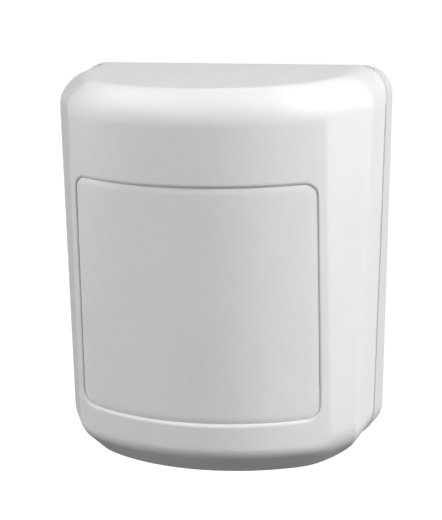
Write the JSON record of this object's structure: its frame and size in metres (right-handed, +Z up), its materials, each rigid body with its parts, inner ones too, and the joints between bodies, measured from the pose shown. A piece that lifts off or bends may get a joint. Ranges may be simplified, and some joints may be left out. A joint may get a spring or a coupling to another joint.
{
  "type": "motion sensor",
  "caption": "Wall-mounted passive infrared motion sensor: white bowed cover with a flush lens panel, swinging open on a shallow rear base with battery, board and lock.",
  "frame": {"origin": "middle of the flat back face, halfway up, where the base meets the wall", "axes": "+Y into the wall, so the front looks along -Y; +Z up; +X to the right seen from the front"},
  "size_m": [0.0692, 0.0394, 0.08],
  "materials": {
    "housing": "satin white moulded plastic",
    "base_housing": "satin moulded plastic, a little greyer than the cover",
    "lens": "satin white infrared-clear plastic sheet",
    "inner_plastic": "plain white moulded plastic",
    "board": "green solder mask",
    "steel": "zinc-plated steel",
    "nickel": "satin nickel plate",
    "filter": "dark polished infrared filter",
    "led": "clear red",
    "battery_wrap": "plain shrink sleeve, bare metal ends",
    "black_plastic": "fine grained",
    "spring_steel": "nickel-plated spring steel",
    "gold_pins": "gold flash",
    "jumper_blue": "moulded",
    "chip_black": "fine matt epoxy",
    "tin": "tinned",
    "capacitor_sleeve": "shrink sleeve, bare aluminium top",
    "antenna": "lacquered copper wire"
  },
  "bodies": {
    "base": {"rear_base": "base_housing", "circuit_board": "board", "board_screws": "steel", "pyro_header": "steel", "pyro_can": "nickel", "pyro_filter": "filter", "sensor_guard": "inner_plastic", "walk_test_led": "led", "battery": "battery_wrap", "battery_cradle": "black_plastic", "positive_contact": "spring_steel", "negative_contact": "spring_steel", "tamper_switch": "black_plastic", "tamper_spring": "spring_steel", "learn_button_case": "nickel", "jumper_pins": "gold_pins", "jumper_header": "black_plastic", "jumper_cap": "jumper_blue", "microcontroller": "chip_black", "microcontroller_leads": "tin", "radio_board": "board", "radio_shield": "nickel", "crystal": "nickel", "capacitors": "capacitor_sleeve", "chip_parts": "chip_black", "antenna_wire": "antenna"},
    "cover": {"front_cover": "housing", "fresnel_lens": "lens", "lens_retainer": "inner_plastic"},
    "lock": {"cover_lock": "housing", "lock_clip": "spring_steel"},
    "tamper_plunger": {"tamper_plunger": "inner_plastic"},
    "learn_button": {"learn_button_cap": "black_plastic"}
  },
  "joints": [
    {"name": "cover_swing", "type": "hinge", "parent": "base", "child": "cover", "pos_m": [0, -0.0018, 0.04], "axis": [-1, 0, 0], "range_deg": [0, 25]},
    {"name": "lock_turn", "type": "hinge", "parent": "cover", "child": "lock", "pos_m": [0, -0.013, -0.04], "axis": [0, 0, 1], "range_deg": [0, 90]},
    {"name": "tamper_plunge", "type": "slide", "parent": "base", "child": "tamper_plunger", "axis": [0, -1, 0], "range_m": [0, 0.0008]},
    {"name": "learn_press", "type": "slide", "parent": "base", "child": "learn_button", "axis": [0, 1, 0], "range_m": [0, 0.00025]}
  ],
  "couplings": [
    {"joint": "tamper_plunge", "follows": "cover_swing", "m_per_rad": 0.0018}
  ]
}
